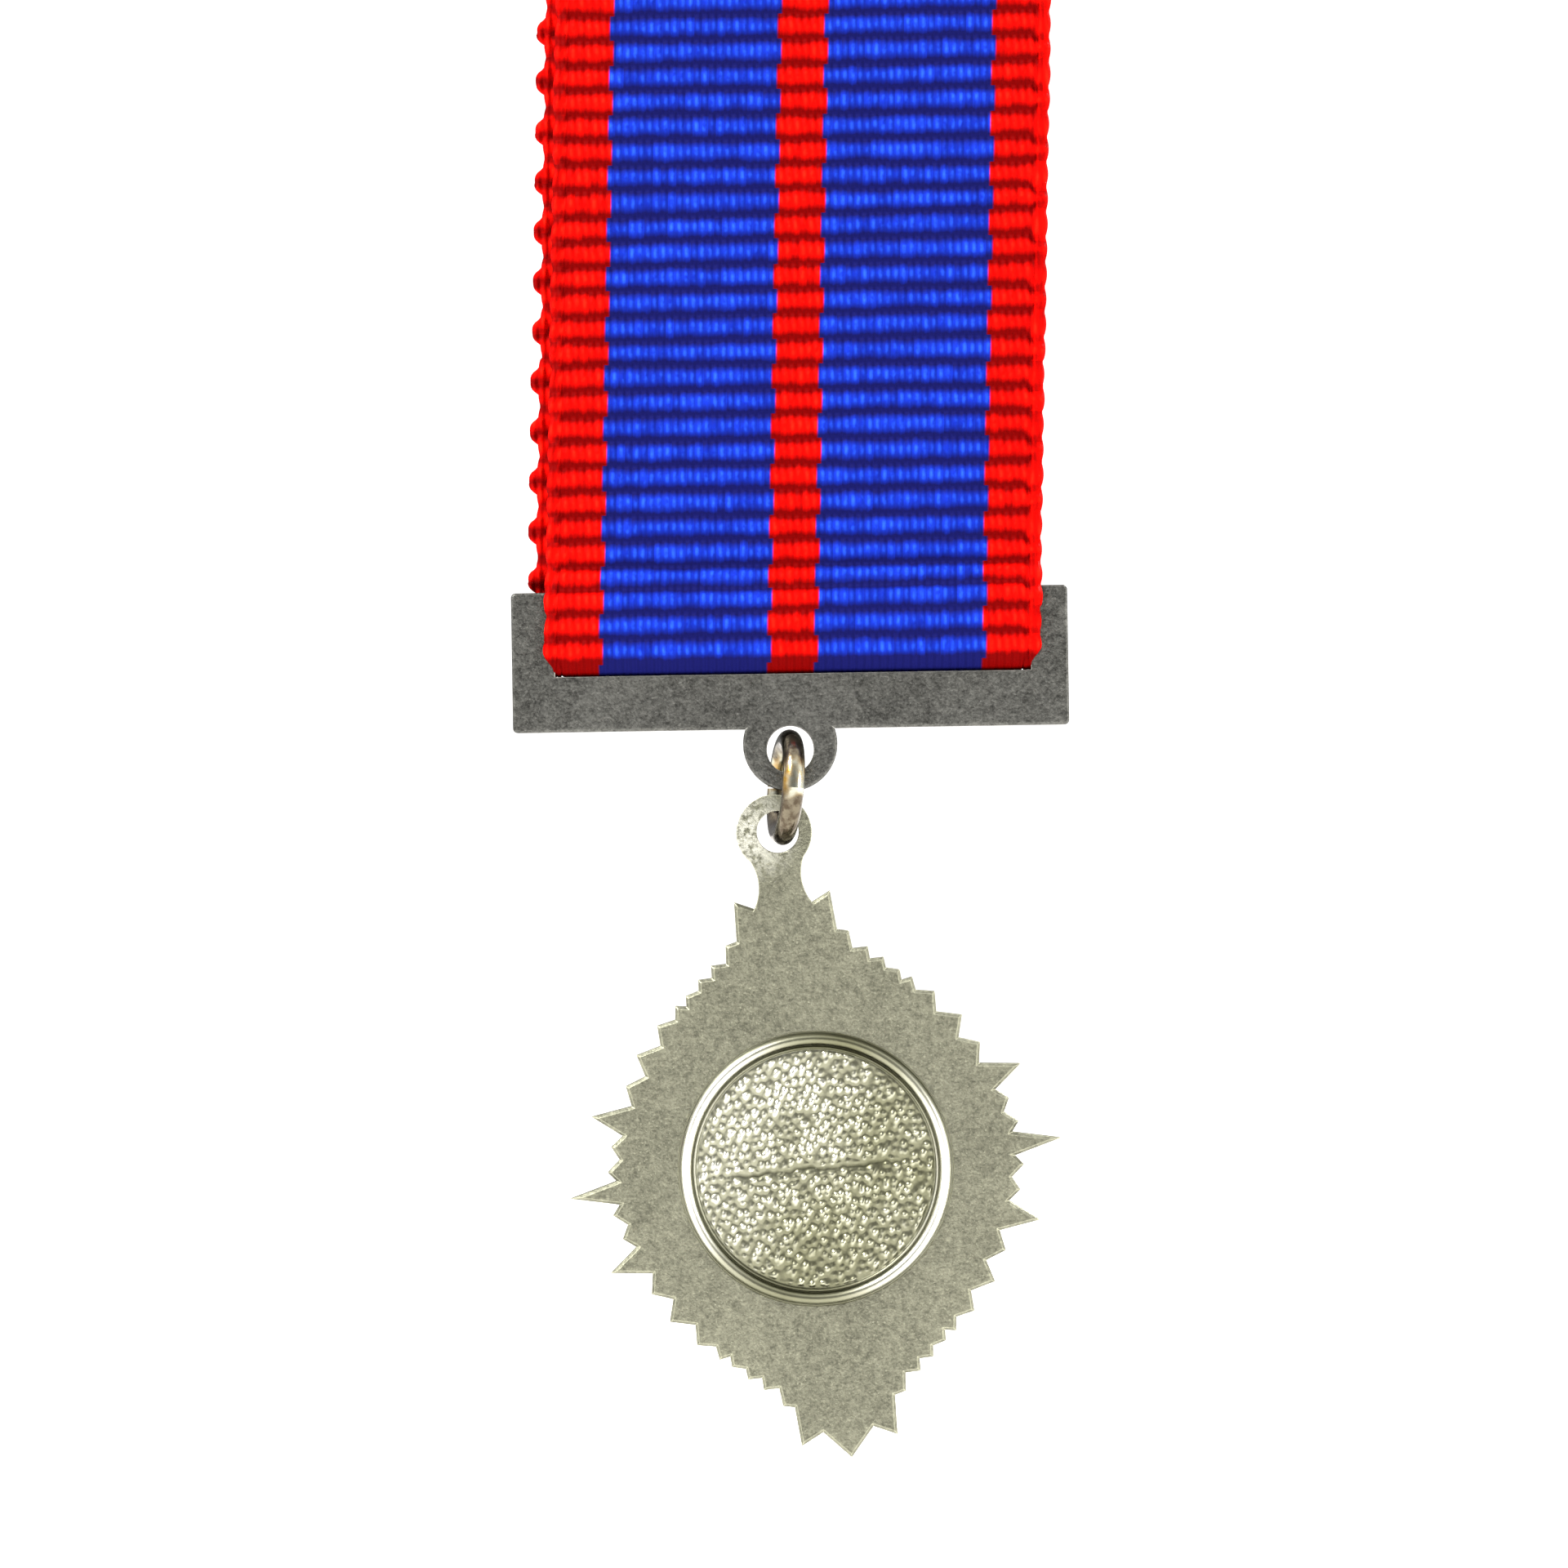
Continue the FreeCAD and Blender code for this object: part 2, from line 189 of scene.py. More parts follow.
class Nodes:
    """Short calls for building one node tree, of a material or of the world."""

    def __init__(self, owner, shader):
        owner.use_nodes = True
        self.owner = owner
        self.tree = owner.node_tree
        self.shader = self.tree.nodes[shader]

    def add(self, kind, inputs=(), **settings):
        node = self.tree.nodes.new(kind)
        for key, value in settings.items():
            setattr(node, key, value)
        for key, value in dict(inputs).items():
            self.feed(node.inputs[key], value)
        return node

    def feed(self, socket, value):
        if isinstance(value, bpy.types.NodeSocket):
            self.tree.links.new(value, socket)
        else:
            socket.default_value = value

    def math(self, operation, *values):
        node = self.add("ShaderNodeMath", dict(enumerate(values)), operation=operation)
        return node.outputs[0]

    def ramp(self, value, low, high):
        """0 below low, 1 above high, straight between them."""
        inputs = {"Value": value, "From Min": low, "From Max": high}
        return self.add("ShaderNodeMapRange", inputs).outputs["Result"]

    def wave(self, operation, turns):
        """The sine or cosine of a number of whole turns."""
        return self.math(operation, self.math("MULTIPLY", turns, TURN))

    def mix(self, factor, a, b):
        node = self.add("ShaderNodeMix", data_type="RGBA")
        self.feed(node.inputs["Factor"], factor)
        self.feed(node.inputs["A"], a)
        self.feed(node.inputs["B"], b)
        return node.outputs["Result"]

    def attribute(self, name):
        return self.add("ShaderNodeAttribute", attribute_name=name).outputs["Fac"]

    def place(self):
        """Place in the object's own frame, so a pattern moves with its piece."""
        return self.add("ShaderNodeTexCoord").outputs["Object"]

    def joined(self, x, y):
        return self.add("ShaderNodeCombineXYZ", {"X": x, "Y": y}).outputs["Vector"]

    def axis(self, vector, name):
        return self.add("ShaderNodeSeparateXYZ", {"Vector": vector}).outputs[name]

    def noise(self, size_mm, roughness=0.6, detail=2.0):
        inputs = {
            "Vector": self.place(),
            "Scale": 1 / (size_mm * MM),
            "Detail": detail,
            "Roughness": roughness,
        }
        return self.add("ShaderNodeTexNoise", inputs).outputs["Fac"]

    def bump(self, height, depth_mm, normal=None):
        inputs = {"Height": height, "Distance": depth_mm * MM, "Strength": 1.0}
        if normal:
            inputs["Normal"] = normal
        return self.add("ShaderNodeBump", inputs).outputs["Normal"]

    def edge_wear_and_highlight(self, radius_mm):
        """A normal rounded at the edges, and 1 on sharp edges, 0 on flat ground."""
        bevel = self.add("ShaderNodeBevel", {"Radius": radius_mm * MM}, samples=6)
        rounded = bevel.outputs["Normal"]
        plain = self.add("ShaderNodeNewGeometry").outputs["Normal"]
        dot = self.add("ShaderNodeVectorMath", {0: rounded, 1: plain}, operation="DOT_PRODUCT")
        return rounded, self.ramp(dot.outputs["Value"], 0.995, 0.88)

    def rubbed(self, spot_mm, outer_mm, inner_mm, cloud):
        """1 near a spot where another piece rubs, broken up and fading outwards."""
        inputs = {0: self.place(), 1: tuple(v * MM for v in spot_mm)}
        gap = self.add("ShaderNodeVectorMath", inputs, operation="DISTANCE").outputs["Value"]
        near = self.ramp(gap, outer_mm * MM, inner_mm * MM)
        pitted = self.ramp(self.noise(0.20), 0.36, 0.54)
        broken = self.math("MULTIPLY", pitted, self.ramp(cloud, 0.2, 0.5))
        return self.math("MULTIPLY", near, broken)

    def finish(self, **inputs):
        for key, value in inputs.items():
            self.feed(self.shader.inputs[key.replace("_", " ")], value)
        return self.owner


def material_nodes(name):
    return Nodes(bpy.data.materials.new(name), "Principled BSDF")


def tint(value, warmth=0.0):
    """A grey, made a little yellow by warmth."""
    return (value, value, value * (1 - 1.6 * warmth), 1.0)


def cast_metal(
    name, dark, light, warmth, grain_mm, depth_mm, roughness, edge_wear_and_highlight_tone, rubbed_at=None
):
    """Blasted or struck metal: mottled grain, sparse flecks, and edges lighter partly from wear
    and partly from a painted highlight.

    Where another piece rubs, it's bare and light around rubbed_at."""
    n = material_nodes(name)
    grain = n.noise(grain_mm, 0.65)
    coarse = n.noise(grain_mm * 2.6)
    cloud = n.noise(2.2, 0.5)
    fleck = n.ramp(n.noise(grain_mm * 0.8, 0.5, detail=1.0), 0.62, 0.76)
    tone = n.math("MULTIPLY_ADD", grain, 0.45, n.math("MULTIPLY", coarse, 0.40))
    tone = n.ramp(n.math("MULTIPLY_ADD", cloud, 0.15, tone), 0.36, 0.64)
    colour = n.mix(tone, tint(dark, warmth), tint(light, warmth))
    colour = n.mix(n.math("MULTIPLY", fleck, 0.4), colour, tint(light * 1.6, warmth))
    normal, edge = n.edge_wear_and_highlight(0.06)
    # Edges painted lighter: partly wear, partly a painted highlight.
    colour = n.mix(n.math("MULTIPLY", edge, 0.6), colour, tint(edge_wear_and_highlight_tone, warmth))
    if rubbed_at is not None:
        bare = n.rubbed(rubbed_at, 1.7, 0.4, cloud)
        colour = n.mix(bare, colour, tint(0.66, 0.5 * warmth))
    rough = n.math("MULTIPLY_ADD", grain, 0.16, roughness - 0.08)
    height = n.math("MULTIPLY_ADD", coarse, 1.2, grain)
    normal = n.bump(height, depth_mm, normal)
    return n.finish(Base_Color=colour, Metallic=1.0, Roughness=rough, Normal=normal)


def bright_metal(name, base, tarnished, tarnish_mm, roughness, unshaded_band_at=None):
    """Drawn or polished metal with a patchy tarnish and fine scuffs.

    Given a height, it turns a mottled dark colour above and below that height: a painted shade,
    leaving a band around that height in the plain colour."""
    n = material_nodes(name)
    tarnish = n.ramp(n.noise(tarnish_mm, 0.55), 0.46, 0.62)
    colour = n.mix(tarnish, base, tarnished)
    if unshaded_band_at is not None:
        # Painted shade: a mottled dark brown away from the given height.
        away = n.math("SUBTRACT", n.axis(n.place(), "Z"), unshaded_band_at * MM)
        away = n.math("MULTIPLY_ADD", tarnish, 0.3 * MM, n.math("ABSOLUTE", away))
        mottle = n.ramp(n.noise(0.22), 0.38, 0.62)
        brown = n.mix(mottle, (0.065, 0.050, 0.034, 1), (0.14, 0.12, 0.085, 1))
        colour = n.mix(n.ramp(away, 0.40 * MM, 0.90 * MM), colour, brown)
    rough = n.math("MULTIPLY_ADD", tarnish, 0.12, roughness)
    scuff = n.bump(n.noise(0.07), 0.003)
    return n.finish(Base_Color=colour, Metallic=1.0, Roughness=rough, Normal=scuff)


def pebbled_metal():
    """Struck metal: lighter on the bumps than in the dull, olive hollows, partly the metal's own
    tone and partly painted highlight and shade; painted shade in the crease and the rim's
    grooves. It's lighter where the painted light level is high."""
    n = material_nodes("roundel metal")
    # This attribute holds the roundel's tones, painted light and shade included, rather than
    # heights.
    height = n.attribute("height")
    cloud = n.ramp(n.noise(1.8, 0.5), 0.35, 0.65)
    # Painted light level, with a random cloud of tone added.
    painted_light_level = n.math("MULTIPLY_ADD", cloud, 0.3, n.attribute("painted_light_level"))
    hollow = n.mix(painted_light_level, tint(0.145, 0.24), tint(0.27, 0.16))
    crest = n.mix(painted_light_level, tint(0.45, 0.18), tint(0.92, 0.06))
    # Bumps lighter than hollows: partly the metal's own tone, partly a painted highlight.
    colour = n.mix(n.ramp(height, 0.30, 0.95), hollow, crest)
    # Painted shade: near black where the tone falls below zero, in the crease and the groove
    # inside the bead.
    colour = n.mix(n.ramp(height, -0.7, 0.0), tint(0.045, 0.28), colour)
    rough = n.math("MULTIPLY_ADD", height, -0.12, 0.38)
    grain = n.bump(n.noise(0.06), 0.005)
    return n.finish(Base_Color=colour, Metallic=1.0, Roughness=rough, Normal=grain)


def red_stripes(n, across, along):
    """1 on the red edges and middle. Their outlines step a little at each rib."""
    blur = 0.03
    step = 0.13
    edge_at = ribbon_width / 2 - edge_stripe
    odd_rib = n.math("FLOORED_MODULO", n.math("FLOOR", along), 2.0)
    centred = n.math("SUBTRACT", across, step / 2)
    out = n.math("ABSOLUTE", n.math("MULTIPLY_ADD", odd_rib, step, centred))
    edge = n.ramp(out, edge_at - blur, edge_at + blur)
    middle = n.ramp(out, centre_stripe / 2 + blur, centre_stripe / 2 - blur)
    return n.math("MAXIMUM", edge, middle)


def ribbon_cloth():
    """Ribbed silk: blue, red edges, a red middle stripe, with painted shade in the grooves and
    where the band turns under, and painted highlights on the thread tops of the ribs.

    Each thread along the band has its own tone on each rib."""
    n = material_nodes("ribbon cloth")
    across = n.attribute("across")
    along = n.attribute("along")
    crest = n.attribute("crest")
    thread = n.math("DIVIDE", across, thread_pitch)
    cell = n.joined(n.math("FLOOR", thread), n.math("FLOOR", along))
    chance = n.add("ShaderNodeTexWhiteNoise", {"Vector": cell}, noise_dimensions="2D")
    chance = chance.outputs["Value"]
    place = n.joined(thread, n.math("MULTIPLY", along, 2.6))
    inputs = {"Vector": place, "Scale": 0.9, "Detail": 2.0}
    spot = n.add("ShaderNodeTexNoise", inputs).outputs["Fac"]
    round_thread = n.wave("COSINE", n.math("SUBTRACT", n.math("FRACT", thread), 0.5))

    # Painted highlight: lighter thread tops along the rib crests.
    painted_shine = n.math("MULTIPLY", n.ramp(round_thread, -0.6, 1.0), n.ramp(crest, 0.62, 0.98))
    painted_shine = n.math("MULTIPLY", painted_shine, n.ramp(spot, 0.34, 0.60))
    painted_shine = n.math("MULTIPLY", painted_shine, n.ramp(chance, -0.5, 0.9))
    blue = n.mix(chance, (0.004, 0.019, 0.33, 1), (0.007, 0.029, 0.45, 1))
    blue = n.mix(painted_shine, blue, (0.021, 0.092, 0.69, 1))
    red = n.mix(chance, (0.60, 0.0010, 0.0004, 1), (0.73, 0.002, 0.0006, 1))
    red = n.mix(painted_shine, red, (0.95, 0.012, 0.004, 1))
    stripes = red_stripes(n, across, along)
    lit = n.mix(stripes, blue, red)
    # Painted shade: darker copies of the blue and red for the grooves and the tucked fold,
    # chosen by the crest attribute.
    shade = n.mix(stripes, (0.006, 0.007, 0.085, 1), (0.16, 0.0002, 0.0002, 1))
    ragged = n.math("MULTIPLY_ADD", n.math("SUBTRACT", chance, 0.5), 0.22, crest)
    ragged = n.math("MULTIPLY_ADD", n.math("SUBTRACT", spot, 0.5), 0.5, ragged)
    ragged = n.math("MULTIPLY_ADD", round_thread, 0.05, ragged)
    colour = n.mix(n.ramp(ragged, 0.27, 1.0), shade, lit)

    cord_at = ribbon_width / 2 - selvedge
    from_middle = n.math("ABSOLUTE", across)
    corded = n.ramp(from_middle, cord_at, cord_at + 0.05)
    twist = n.wave("SINE", n.math("MULTIPLY_ADD", from_middle, 1.6, along))
    height = n.math("MULTIPLY_ADD", round_thread, 0.5, n.math("MULTIPLY", spot, 0.6))
    height = n.math("ADD", height, n.math("MULTIPLY", corded, twist))
    n.shader.inputs["Specular IOR Level"].default_value = 0.02
    return n.finish(Base_Color=colour, Roughness=0.62, Normal=n.bump(height, 0.045))


def thread_cloth():
    n = material_nodes("stitch thread")
    twist = n.wave("SINE", n.attribute("twist"))
    colour = n.mix(n.ramp(twist, -1.0, 1.0), (0.006, 0.008, 0.09, 1), (0.02, 0.03, 0.34, 1))
    return n.finish(Base_Color=colour, Roughness=0.7, Normal=n.bump(twist, 0.03))


def plain_paper():
    n = material_nodes("floor paper")
    tone = n.noise(30.0, 0.5, detail=3.0)
    colour = n.mix(tone, (0.90, 0.89, 0.88, 1), (0.94, 0.93, 0.92, 1))
    return n.finish(Base_Color=colour, Roughness=0.9, Normal=n.bump(n.noise(0.4), 0.02))


# Ribbon


def arc(centre, radius, start_deg, end_deg, count=24):
    turns = np.radians(np.linspace(start_deg, end_deg, count))
    return [(centre[0] + radius * math.cos(t), centre[1] + radius * math.sin(t)) for t in turns]


def ribbon_path():
    """The band's middle line in (depth from the hanging plane, height).

    It starts at the turned-over end behind the brooch, goes over the plate,
    down the obverse, round the crossbar and up the reverse."""
    over = (plate_high[1] - plate_low[1]) / 2 + half_peak
    under = (bar_high[1] - bar_low[1]) / 2 + half_peak + 0.05
    flat = half_peak + 0.01
    turned_end = stitch_low[2] - 0.6
    together = turned_end - 1.2
    straight = bend_z + 1.0
    slot_top = bar_top - 0.35
    points = [(over, turned_end)]
    points += arc((0, plate_high[2]), over, 0, 180)
    points += [(-over, plate_low[2]), (-flat, together), (-flat, straight)]
    points += [(-flat - 0.02, bend_z), (-under, slot_top)]
    points += arc((0, crossbar_low), under, 180, 360)
    points += [(under, slot_top), (flat + 0.02, bend_z), (flat, straight)]
    points += [(flat, together), (0.12, turned_end + 0.3), (0.08, plate_low[2] - 0.25)]
    return np.array(points)


def lengths_along(points):
    steps = np.linalg.norm(np.diff(points, axis=0), axis=1)
    return np.concatenate([[0], np.cumsum(steps)])


def evenly(points, step):
    along = lengths_along(points)
    count = int(round(along[-1] / step)) + 1
    at = np.linspace(0, along[-1], count)
    return np.stack([np.interp(at, along, column) for column in points.T], -1)


def softened(points, reach):
    """A running average that keeps the two ends where they are."""
    window = np.hanning(2 * reach + 3)[1:-1]
    window /= window.sum()
    before = 2 * points[0] - points[reach:0:-1]
    after = 2 * points[-1] - points[-2:-reach - 2:-1]
    padded = np.concatenate([before, points, after])
    return np.stack([np.convolve(column, window, "valid") for column in padded.T], -1)


def ribbon_columns():
    """Places across the band, from -1 to 1, closer together at the edges."""
    inner = np.linspace(-0.92, 0.92, 35)
    edge = 1 - 0.08 * (1 - np.sin(np.linspace(0, 0.5, 13) * math.pi))[1:]
    return np.concatenate([-edge[::-1], inner, edge])


def rib_unevenness(count, wide):
    """How far ribs stray from straight, in ribs, and how far their ends stand out."""
    random = np.random.default_rng(7)
    ribs = int(count.max() - count.min()) + 4
    wander = np.cumsum(random.normal(0, rib_wander, (ribs, wide)), axis=1)
    wander -= wander.mean(axis=1)[:, None]
    ends = random.normal(0, uneven_ends, ribs)
    rib = (np.floor(count) - math.floor(count.min())).astype(int)[:, 0]
    share = count - np.floor(count)
    drift = wander[rib] * (1 - share) + wander[rib + 1] * share
    return np.clip(drift, -most_drift, most_drift), ends[rib][:, None]


def band_faces(rows, wide):
    """Faces of a closed band: rings of two layers of points, shut at both ends."""
    columns = 2 * wide - 2
    faces = ring_quads(rows, columns)[:, ::-1].tolist()
    for row in (0, rows - 1):
        start = row * columns
        for j in range(wide - 1):
            corners = [j, j + 1, -(j + 1) % columns, -j % columns]
            corners = [start + k for k in dict.fromkeys(corners)]
            faces.append(corners if row == 0 else corners[::-1])
    return faces


def both_faces(outer, inner):
    """Joins the values of the band's two faces into closed rings."""
    return np.concatenate([outer, inner[:, ::-1][:, 1:-1]], axis=1)


def make_ribbon(material):
    """One closed band with woven ribs, cord-like selvedges and picot loops."""
    path = softened(evenly(ribbon_path(), rib_pitch / rib_steps), 4)
    rows = len(path)
    ahead = np.gradient(path, axis=0)
    ahead /= np.linalg.norm(ahead, axis=1)[:, None]
    outward = np.stack([ahead[:, 1], -ahead[:, 0]], -1)
    length = lengths_along(path)
    fold_row = int(np.argmin(path[:, 1]))
    reverse_side = (np.arange(rows) > fold_row)[:, None]
    depth, height = path[:, :1], path[:, 1:]
    over_fold = height - path[fold_row, 1]
    in_slot = (1 - smooth_step(np.abs(depth), 0.45, 0.74)) * (over_fold < 1.0)
    tucked = 1 - smooth_step(over_fold, 0.20, 0.60)
    count = ((length - length[fold_row]) / rib_pitch + rib_start)[:, None]

    across = ribbon_columns()[None, :]
    wide = across.shape[1]
    corded_side = across < 0
    picot_side = across > 0
    from_edge = (1 - np.abs(across)) * ribbon_width / 2
    cord = smooth_step(from_edge, selvedge + 0.09, selvedge - 0.09)
    cord_tone = cord * np.where(corded_side, bright_cord, dull_cord)

    # Ribs and grooves
    drift, uneven = rib_unevenness(count, wide)
    every_other = 0.5 + 0.5 * np.cos(math.pi * count)
    hook = smooth_step(from_edge, selvedge + 0.22, selvedge - 0.05) * corded_side
    hook = hook * groove_hook * every_other * smooth_step(over_fold, 0.6, 1.6)
    phase = count + drift + hook
    crest = np.abs(np.sin(math.pi * phase)) ** rib_sharpness

    # Half of the thickness
    relief = (1 - 0.7 * tucked) * (1 - 0.4 * cord)
    half = half_peak - (half_peak - half_groove) * (1 - crest) * relief
    half = half - seam * np.exp(-((from_edge - selvedge) / seam) ** 2)
    rim = half_ellipse(np.clip(edge_round - from_edge, 0, 1), edge_round)
    half = half * np.maximum(rim, 0.02 + 0.9 * in_slot)
    from_end = np.minimum(np.arange(rows), np.arange(rows)[::-1])[:, None]
    half = half * np.clip(from_end / 3, 0.15, 1)

    # Outline: bulging ribs, picot loops on one edge, and drawn in at the slot
    loops = (count + 0.1) / 2
    off_loop = 2 * np.abs(loops - np.round(loops))
    picot = np.where(reverse_side, near_picot, far_picot) * (1 - tucked) * picot_side
    loop = half_ellipse(off_loop, 0.50) ** 1.5 * picot
    bulge = rib_bulge * np.abs(np.sin(math.pi * (count + 0.10))) - 0.03 + uneven
    pinch = ((ribbon_width - slot_width) / 2 - 0.03) * in_slot
    reach = bulge * (1 - in_slot) - pinch + loop
    reach = np.sign(across) * reach * smooth_step(np.abs(across), 0.90, 1.0)
    flat_x = across * ribbon_width / 2 + reach

    # Place of the middle surface
    shift = far_shift * smooth_step(height, crossbar_low - 0.2, bar_top) * (1 - reverse_side)
    x = flat_x - height * ribbon_lean + shift
    free = smooth_step(height, bend_z, bend_z + 6) * (length[:, None] > 0.2 * length[-1])
    ripple = 0.025 * np.sin(height * 0.55 + across * 1.3) * free

    def face(sign):
        y = hang_y + depth + sign * outward[:, :1] * half + ripple
        z = height + sign * outward[:, 1:] * half
        return np.stack([x, y, z], -1)

    points = both_faces(face(1), face(-1)).reshape(-1, 3)
    piece = mesh_piece("ribbon", points, band_faces(rows, wide), material)
    # Painted shade: this tone darkens the grooves and the band where it turns under at the fold,
    # and the cords are spared part of it.
    tone = np.maximum(crest, cord_tone) * (1 - 0.9 * tucked)
    for name, values in (("across", flat_x), ("along", phase), ("crest", tone)):
        point_values(piece, name, both_faces(values, values))
    return piece, length[-1]


# Stitches


def make_stitches(material):
    """Short twisted threads that dip into the cloth at both ends."""
    count = 9
    radius = 0.09
    sides = 10
    steps = 14
    twist_turns = 3.5
    pitch = (stitch_high[0] - stitch_low[0]) / (count - 0.4)
    half_length = 0.32 * pitch
    y0 = stitch_low[1] - 0.02
    z0 = (stitch_low[2] + stitch_high[2]) / 2
    random = np.random.default_rng(3)
    points, faces, twists = [], [], []
    for i in range(count):
        middle = stitch_low[0] + pitch * (0.3 + i)
        slope = random.uniform(-0.10, 0.10)
        first = len(points)
        for s in np.linspace(-1, 1, steps):
            rise = 0.10 * math.sqrt(1 - 0.9 * s * s)
            centre = np.array([middle + s * half_length, y0 + rise, z0 + slope * s])
            size = radius * (1 - 0.45 * s ** 4)
            for k in range(sides):
                t = TURN * k / sides
                points.append(centre + [0, size * math.cos(t), size * math.sin(t)])
                twists.append(s * twist_turns + k / sides)
        last = len(points) - sides
        faces += (ring_quads(steps, sides) + first).tolist()
        faces.append(list(range(first, first + sides))[::-1])
        faces.append(list(range(last, last + sides)))
    piece = mesh_piece("stitches", points, faces, material)
    point_values(piece, "twist", twists)
    return piece


# Roundel


def pebble_centres():
    """Uneven rows of bumps: place, strength from 0 to 1 and length."""
    random = np.random.default_rng(11)
    row_pitch = pebble_pitch * 0.87
    centres = []
    for i in range(int(2 * roundel_radius / row_pitch) + 2):
        for j in range(int(2 * roundel_radius / pebble_pitch) + 2):
            x = -roundel_radius + pebble_pitch * (j + 0.5 * (i % 2)) + random.normal(0, 0.05)
            z = -roundel_radius + row_pitch * i + random.normal(0, 0.05)
            centres.append((x, z, random.uniform(0.4, 1.0), random.uniform(0.9, 1.7)))
    return centres


def pebbles(points):
    """Heights from 0 to 1 of a field of small irregular bumps."""
    centres = pebble_centres()
    tree = KDTree(len(centres))
    for k, centre in enumerate(centres):
        tree.insert((*centre[:2], 0), k)
    tree.balance()
    lean = math.radians(25)
    neighbours = 5
    heights = []
    for x, z in points:
        total = 0.0
        for place, k, _ in tree.find_n((x, z, 0), neighbours):
            strength, long = centres[k][2:]
            dx, dz = x - place[0], z - place[1]
            long_way = dz * math.cos(lean) - dx * math.sin(lean)
            short_way = dx * math.cos(lean) + dz * math.sin(lean)
            spread = (short_way / pebble_size) ** 2 + (long_way / (pebble_size * long)) ** 2
            total += (strength * math.exp(-spread)) ** 3
        heights.append(min(1.0, total ** (1 / 3)))
    return np.array(heights)


def rim_profile(radius):
    """Height over the star's back face: a bead, a fine inner ring and the ground."""
    bead = half_ellipse(radius - 4.17, 0.20) * rim_height - 0.02
    inner_ring = half_ellipse(radius - 3.90, 0.06) * 0.17 - 0.02
    edges = [radius > 4.385, radius > 4.17, radius > field_radius]
    ground = np.select(edges, [-0.20, -0.02, 0.05], 0.04)
    return np.maximum(np.maximum(bead, inner_ring), ground)


def make_roundel(material):
    """The reverse disc: bead rim, groove, fine inner ring and pebbled field."""
    segments = 540
    inner = np.linspace(0.03, field_radius - 0.02, 128)
    outer = np.linspace(field_radius, roundel_radius, 42)
    radii = np.concatenate([inner, outer])
    turns = np.linspace(0, TURN, segments, endpoint=False)
    r, t = np.meshgrid(radii, turns, indexing="ij")
    x, z = r * np.cos(t), r * np.sin(t)
    field = smooth_step(r, 3.83, 3.72)
    bumps = pebbles(np.stack([x.ravel(), z.ravel()], -1)).reshape(r.shape)

    # A shallow, wavy crease that runs level across the field
    wave = 0.03 * x + 0.03 * np.sin(x * 2.1 + 0.5)
    wave = wave + 0.030 * np.sin(x * 5.3) + 0.02 * np.sin(x * 13.0)
    broken = 0.84 + 0.16 * np.sin(x * 3.7 + 1.0)
    broken = broken * (1 - smooth_step(np.abs(x), 2.5, 3.3))
    crease = np.exp(-((z - wave) / 0.09) ** 2) * broken
    trough = np.exp(-((z - wave) / 0.15) ** 2) * broken
    relief = field * (bumps * pebble_height * (1 - 0.8 * trough) - 0.045 * crease)
    height = rim_profile(r) + relief

    # Tones with painted light: a painted highlight on two opposite sides of the rim, painted
    # shade low in its grooves and in the crease, and a field painted lighter towards +X and up
    bearing = np.arctan2(z, -x)
    painted_highlight_lobes = np.abs(np.cos(bearing - math.radians(160))) ** 2
    in_field = field > 0.01
    # Painted light: the field lighter towards +X and up, the rim lit in two opposite lobes.
    painted_light_level = np.clip(np.where(in_field, 0.22 + 0.15 * x + 0.14 * z, painted_highlight_lobes), 0, 1)
    rim_painted_light = (0.25 + 0.75 * smooth_step(height, -0.04, 0.16)) * (0.30 + 0.65 * painted_highlight_lobes)
    # Painted shade in the groove just inside the bead.
    rim_painted_light = rim_painted_light - 0.45 * smooth_step(r, 4.01, 3.96) * (r > 3.83)
    # Painted shade along the crease.
    tone = np.where(in_field, bumps * (1 - crease) - 0.55 * crease, rim_painted_light)

    front_y = disc_low[1]
    back_y = disc_high[1] - rim_height
    top = np.stack([x, back_y + height, z], -1).reshape(-1, 3)
    wall = np.stack([x[-1], np.full(segments, front_y), z[-1]], -1)
    middles = [[0, back_y + height[0].mean(), 0], [0, front_y, 0]]
    rings = len(radii) + 1
    faces = ring_quads(rings, segments).tolist()
    rim = (rings - 1) * segments
    back_middle, front_middle = rings * segments, rings * segments + 1
    for j in range(segments):
        k = (j + 1) % segments
        faces.append([back_middle, k, j])
        faces.append([front_middle, rim + j, rim + k])
    lean = Matrix.Rotation(pendant_lean, 3, "Y")
    middle = (disc_low + disc_high) / 2 * [1, 0, 1]
    points = np.concatenate([top, wall, middles]) @ np.array(lean).T + middle
    piece = mesh_piece("roundel_reverse", points, faces, material)
    wall_tone = np.full(segments, 0.4)
    tones = np.concatenate([tone.ravel(), wall_tone, [0.5, 0.4]])
    # The height attribute carries these tones, painted light and shade included, rather than
    # heights.
    point_values(piece, "height", tones)
    point_values(piece, "painted_light_level", np.concatenate([painted_light_level.ravel(), wall_tone, [0.4, 0.4]]))
    return piece


def clad(node, material):
    """Gives a CAD node one material on all of its slots."""
    slots = frame["nodes"][node].data.materials
    if not slots:
        slots.append(material)
    for i in range(len(slots)):
        slots[i] = material


# Stage, light and camera


def make_stage():
    radius = 900.0
    corners = 96
    z = cad_box[0][2] / MM - 20.0
    turns = np.linspace(0, TURN, corners, endpoint=False)
    points = [(radius * math.cos(t), radius * math.sin(t), z) for t in turns]
    floor = mesh_piece("floor", points, [list(range(corners))], plain_paper())


